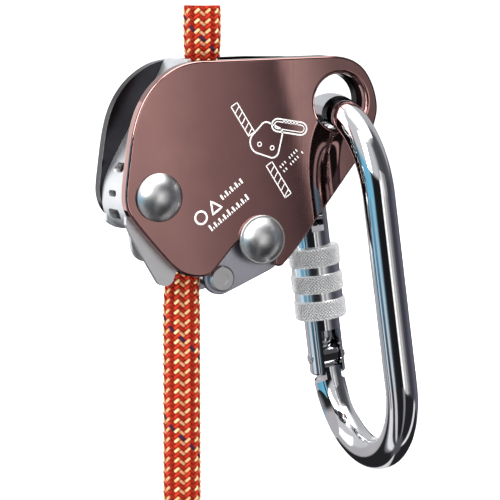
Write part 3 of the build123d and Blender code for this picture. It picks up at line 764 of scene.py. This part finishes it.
def index_dashes():
    """A ring, a triangle and two rows of dashes, running up to the right."""
    line, fine_line = 0.62, 0.34
    at = local((24.2, 17.2), right=(0.80, 0.60), up=(-0.60, 0.80))
    angles = [math.radians(degrees) for degrees in range(0, 360, 12)]
    ring = [at(1.9 * math.cos(angle), 1.9 * math.sin(angle)) for angle in angles]
    triangle = polygon([at(3.6, -1.7), at(7.2, -1.7), at(5.4, 1.9)])
    ribbons = [ribbon(ring, line, closed=True), ribbon(triangle, line, closed=True)]

    def dash_row(x, z, count, pitch, gap, short_top, tall_top):
        """Dashes with short thin ones between; every fourth dash reaches tall_top."""
        for k in range(count):
            here = x + k * pitch
            top = 0.85 if k % 4 else tall_top
            ribbons.append(ribbon([at(here, z - 0.85), at(here, z + top)], line))
            if k < count - 1:
                between = here + gap
                ends = [at(between, z - 0.85), at(between, z + short_top)]
                ribbons.append(ribbon(ends, fine_line))

    dash_row(9.0, 0.6, count=5, pitch=1.95, gap=0.95, short_top=-0.1, tall_top=0.85)
    dash_row(0.6, -4.6, count=9, pitch=1.85, gap=0.92, short_top=-0.15, tall_top=1.2)
    return ribbons


def range_ticks():
    """Two rows of small ticks, with gaps."""
    at = local((50.4, 31.6), right=(0.74, 0.67), up=(-0.67, 0.74))
    pitch, row_gap, half_height = 1.02, 1.75, 0.42
    return [ribbon([at(k * pitch, -row * row_gap - half_height),
                    at(k * pitch, -row * row_gap + half_height)], 0.36)
            for row in range(2) for k in range(9) if (k + row) % 5 != 3]


etch_piece("etched_use_diagram", use_diagram())
etch_piece("etched_index_dashes", index_dashes())
etch_piece("etched_range_ticks", range_ticks())

# ---------------------------------------------------------------- floor and backdrop, metres
FLOOR_GAP = 0.004
FLOOR_FRONT, FLOOR_BACK = -2.5, 1.1
SWEEP_RADIUS, SWEEP_TOP, SWEEP_HALF_WIDTH = 0.5, 3.2, 3.2


def sweep_material():
    surface = Surface("studio_sweep")
    tone = surface.noise(scale=6, detail=3)
    surface.set(Base_Color=surface.ramp(tone, [(0.3, (0.93, 0.93, 0.935)),
                                               (0.7, (0.96, 0.96, 0.965))]),
                Roughness=0.9)
    return surface.material


def studio_sweep():
    floor_z = min(corner[2] for corner in cad_box[:2]) - FLOOR_GAP
    profile = [(FLOOR_FRONT, floor_z), (FLOOR_BACK, floor_z)]
    profile += arc((FLOOR_BACK, floor_z + SWEEP_RADIUS), SWEEP_RADIUS, -90, 0, steps=24)[1:]
    profile.append((FLOOR_BACK + SWEEP_RADIUS, SWEEP_TOP))
    points = [(x, y, z) for y, z in profile for x in (-SWEEP_HALF_WIDTH, SWEEP_HALF_WIDTH)]
    faces = [(2 * i, 2 * i + 1, 2 * i + 3, 2 * i + 2) for i in range(len(profile) - 1)]
    return solid("studio_sweep", points, faces, sweep_material())


sweep = studio_sweep()
sweep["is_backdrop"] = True
sweep.visible_glossy = False

# ---------------------------------------------------------------- camera
STUDIO_CENTRE = Vector((CAM_AXLE_X, 0, CAM_AXLE_Z)) * MM    # the studio is laid out about it
VIEW_LEFT, VIEW_DOWN = math.radians(25.0), math.radians(5.6)    # camera left of and above front
VIEW_DISTANCE = 0.90
VIEW_WIDTH = 0.15           # what the picture spans at that distance
SENSOR_WIDTH = 36

look = Vector((math.sin(VIEW_LEFT) * math.cos(VIEW_DOWN),
               math.cos(VIEW_LEFT) * math.cos(VIEW_DOWN), -math.sin(VIEW_DOWN)))
target = STUDIO_CENTRE + Vector((29.66, FRONT_FACE_Y, -16.8)) * MM
camera_data = bpy.data.cameras.new("camera")
camera = bpy.data.objects.new("camera", camera_data)
scene.collection.objects.link(camera)
camera.location = target - look * VIEW_DISTANCE
camera.rotation_euler = look.to_track_quat('-Z', 'Y').to_euler()
camera_data.sensor_width = SENSOR_WIDTH
camera_data.lens = SENSOR_WIDTH * VIEW_DISTANCE / VIEW_WIDTH
camera_data.clip_start = 0.01
camera_data.clip_end = 20
scene.camera = camera

# ---------------------------------------------------------------- world
# The studio as the metal sees it: (degrees from the front, + to the right; colour or grey)
HORIZON = [
    (-180, (0.50, 0.48, 0.50)), (-138, (0.50, 0.48, 0.50)), (-130, (0.11, 0.40, 0.62)),
    (-100, (0.17, 0.52, 0.76)), (-64, (0.22, 0.56, 0.76)), (-56, (0.03, 0.04, 0.05)),
    (-50, (0.012, 0.012, 0.014)), (-10, (0.012, 0.012, 0.014)), (-5, 1.5), (20, 1.5),
    (25, (0.09, 0.09, 0.11)), (60, (0.05, 0.05, 0.07)), (100, (0.15, 0.15, 0.18)),
    (148, (0.10, 0.10, 0.12)), (155, 0.9), (166, 0.9), (172, (0.13, 0.07, 0.055)),
    (180, (0.13, 0.07, 0.055))]
# above the horizon: bright on the left, a dark gap on the right
UPPER = [
    (-180, (0.66, 0.67, 0.69)), (-12, (0.66, 0.67, 0.69)), (4, (0.40, 0.40, 0.42)),
    (14, (0.10, 0.10, 0.11)), (50, (0.07, 0.07, 0.08)), (84, (0.12, 0.12, 0.13)),
    (100, (0.45, 0.45, 0.47)), (180, (0.66, 0.67, 0.69))]
# and below it, for the surfaces that look down
GAP = (0.02, 0.02, 0.022)
LOWER = [
    (-180, GAP), (-140, GAP), (-132, (0.30, 0.30, 0.33)), (-127, (0.90, 0.90, 0.92)),
    (-108, (0.85, 0.85, 0.88)), (-102, (0.05, 0.05, 0.06)), (-88, (0.03, 0.03, 0.035)),
    (-82, (0.70, 0.70, 0.73)), (-70, (0.70, 0.70, 0.73)), (-63, GAP),
    (-20, (0.015, 0.015, 0.018)), (-8, (0.36, 0.36, 0.40)), (2, GAP), (66, GAP),
    (72, (0.95, 0.95, 0.96)), (82, (0.95, 0.95, 0.96)), (88, GAP), (146, GAP),
    (151, (0.80, 0.80, 0.82)), (160, (0.80, 0.80, 0.82)), (166, GAP), (180, GAP)]


def studio_world():
    world = bpy.data.worlds.new("studio")
    scene.world = world
    sky = Graph(world, "ShaderNodeOutputWorld", "ShaderNodeBackground")
    x, y, z = sky.separate(sky.node("ShaderNodeTexCoord").outputs["Generated"])
    azimuth = sky.math("ARCTAN2", x, sky.times(y, -1.0))
    place = sky.add(sky.math("DIVIDE", azimuth, FULL_TURN), 0.5)
    horizon, lower, upper = (
        sky.ramp(place, [((degrees + 180) / 360, colour) for degrees, colour in stops])
        for stops in (HORIZON, LOWER, UPPER))

    def blend(heights, first, second):
        """From first to second as the view passes between two heights."""
        part = sky.remap(z, source=heights, interpolation_type="SMOOTHSTEP")
        return sky.mix(part, first, second)

    panels = blend((0.12, 0.26), horizon, upper)
    panels = blend((0.78, 0.92), panels, (1.0, 1.0, 1.0))
    lower = blend((-0.93, -0.99), lower, (0.10, 0.10, 0.11))
    panels = blend((-0.24, -0.34), panels, lower)
    # only reflections see the panels; all else gets a dimmer, even light
    glossy = sky.node("ShaderNodeLightPath").outputs["Is Glossy Ray"]
    sky.set(Color=sky.mix(glossy, (0.95, 0.97, 1.0), panels),
            Strength=sky.add(sky.times(glossy, 0.45), 0.55))


studio_world()


# ---------------------------------------------------------------- lights
def area_light(name, place, aim, size, power, colour=(1, 1, 1), in_reflections=True):
    place, aim = Vector(place), Vector(aim)
    light = bpy.data.lights.new(name, "AREA")
    light.energy = power
    light.color = colour
    light.shape = "RECTANGLE"
    light.size, light.size_y = size
    lamp = bpy.data.objects.new(name, light)
    scene.collection.objects.link(lamp)
    lamp.location = place + STUDIO_CENTRE
    lamp.rotation_euler = (aim - place).to_track_quat('-Z', 'Y').to_euler()
    lamp.visible_glossy = in_reflections


area_light("key_left", place=(-0.72, -0.52, 0.60), aim=(0.02, 0, 0), size=(0.42, 0.9), power=9,
           colour=(1.0, 0.98, 0.96))
area_light("fill_right", place=(0.9, -0.35, 0.2), aim=(0.03, 0, 0), size=(0.5, 1.0), power=7,
           colour=(0.97, 0.98, 1.0), in_reflections=False)
area_light("top", place=(0.05, -0.1, 1.0), aim=(0.02, 0, 0), size=(0.9, 0.9), power=10)
area_light("backdrop", place=(0.0, 0.5, 0.8), aim=(0.0, 1.6, 0.2), size=(1.2, 1.2), power=16)


# ---------------------------------------------------------------- reflection cards
def reflection_card(name, surface, left, right, y, bottom, top):
    """An upright panel seen only in reflections."""
    corners = [(left, y, bottom), (right, y, bottom), (right, y, top), (left, y, top)]
    card = add_object(name, raw_mesh(name, corners, [(0, 1, 2, 3)]), surface.material)
    card.location = STUDIO_CENTRE
    card.visible_camera = False
    card.visible_diffuse = False
    card.visible_shadow = False
    card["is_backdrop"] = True


def graded_card():
    """Mirrored by the flat front plate: soft grey at left, a dark gap, then a bright edge."""
    surface = Surface("graded_card", "ShaderNodeEmission")
    x, y, z = surface.separate(surface.node("ShaderNodeTexCoord").outputs["Object"])
    # position across the card, leaning slightly so the edge runs down to the right
    across = surface.add(x, surface.times(z, 0.25))
    shade = surface.ramp(surface.remap(across, source=(0.20, 0.40)), [
        (0.0, (0.88, 0.86, 0.86)), (0.24, (0.80, 0.76, 0.76)), (0.37, (0.50, 0.46, 0.47)),
        (0.50, (0.35, 0.32, 0.335)), (0.575, (0.20, 0.18, 0.195)),
        (0.622, (0.08, 0.075, 0.085)), (0.630, 0.80), (0.665, 0.74), (0.70, 0.58),
        (0.735, 0.44), (0.775, 0.30), (1.0, 0.26)])
    surface.set(Color=shade, Strength=surface.remap(z, source=(-0.08, 0.02), to=(0.72, 1.12)))
    reflection_card("graded_card", surface, left=0.10, right=0.52, y=-0.60,
                    bottom=-0.25, top=0.25)


def shell_card():
    """Behind the folded shell, on the left: its web mirrors this and reads nearly white."""
    surface = Surface("shell_card", "ShaderNodeEmission")
    tone = surface.noise(scale=9, detail=2)
    surface.set(Color=surface.ramp(tone, [(0.3, 0.85), (0.7, 1.0)]), Strength=1.5)
    reflection_card("shell_card", surface, left=-0.26, right=-0.05, y=0.16,
                    bottom=-0.08, top=0.10)


graded_card()
shell_card()

scene.view_settings.view_transform = "Standard"
scene.view_settings.look = "None"
scene.view_settings.exposure = 0.0

visual_box = plain(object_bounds())
